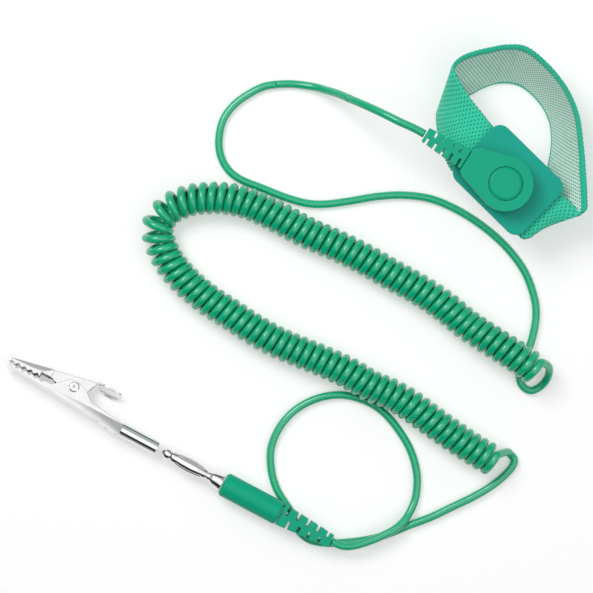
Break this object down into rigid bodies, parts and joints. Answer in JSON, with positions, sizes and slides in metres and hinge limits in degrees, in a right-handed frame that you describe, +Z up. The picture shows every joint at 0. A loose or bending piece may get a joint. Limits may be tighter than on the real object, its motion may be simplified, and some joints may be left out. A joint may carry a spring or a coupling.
{
  "type": "esd wrist strap",
  "caption": "Elastic anti-static wrist strap with a press-stud head, curly cord, banana plug and push-on alligator clip.",
  "frame": {"origin": "centre of the bottom of the box around the band, head and clip, on the surface that the strap lies on", "axes": "+X along the longest side, from the clip's nose towards the wrist band; +Z up"},
  "size_m": [0.2008, 0.1751, 0.0284],
  "materials": {
    "knit": "ribbed elastic knit, green outside and silver-grey conductive inside",
    "moulded": "satin moulded plastic",
    "jacket": "glossy polyurethane jacket",
    "steel": "bright nickel plating",
    "enamel": "resistor enamel"
  },
  "bodies": {
    "root": {"wrist_band": "knit", "cover_plate": "moulded", "contact_backplate": "steel", "band_clamp_bar_a": "steel", "band_clamp_bar_b": "steel", "stud_rivet": "steel", "snap_stud": "steel", "cord_free_span": "jacket", "lead_snap_side": "jacket", "coil_cord": "jacket", "lead_plug_side": "jacket", "plug_strain_relief": "moulded", "plug_sleeve": "moulded", "plug_crimp_collar": "steel", "banana_pin": "steel", "banana_spring_cage": "steel"},
    "snap_spring": {"socket_spring": "steel"},
    "snap_head": {"snap_head_shell": "moulded", "snap_head_cap": "moulded", "snap_socket": "steel", "resistor_body": "enamel", "resistor_lead_inner": "steel", "resistor_lead_outer": "steel", "crimp_ferrule": "steel", "head_strain_relief": "moulded"},
    "clip": {"clip_lower_jaw": "steel", "clip_rivet": "steel", "clip_spring": "steel"},
    "clip_jaw": {"clip_upper_jaw": "steel"}
  },
  "joints": [
    {"name": "snap_pull", "type": "slide", "parent": "root", "child": "snap_spring", "axis": [0, 0, 1], "range_m": [0, 0.009], "deforming": ["cord_free_span"]},
    {"name": "snap_swivel", "type": "hinge", "parent": "snap_spring", "child": "snap_head", "pos_m": [0.07153, 0.02232, 0.025], "axis": [0, 0, 1], "range_deg": [-45, 45]},
    {"name": "clip_slide", "type": "slide", "parent": "root", "child": "clip", "axis": [0.8821, -0.471, 0], "range_m": [0, 0.0195], "deforming": ["banana_spring_cage"]},
    {"name": "clip_open", "type": "hinge", "parent": "clip", "child": "clip_jaw", "pos_m": [-0.07674, -0.0479, 0.00443], "axis": [-0.1219, -0.2283, -0.9659], "range_deg": [0, 20], "stiffness_Nm_per_rad": 0.02, "springref_deg": -28.65, "deforming": ["clip_spring"]}
  ]
}
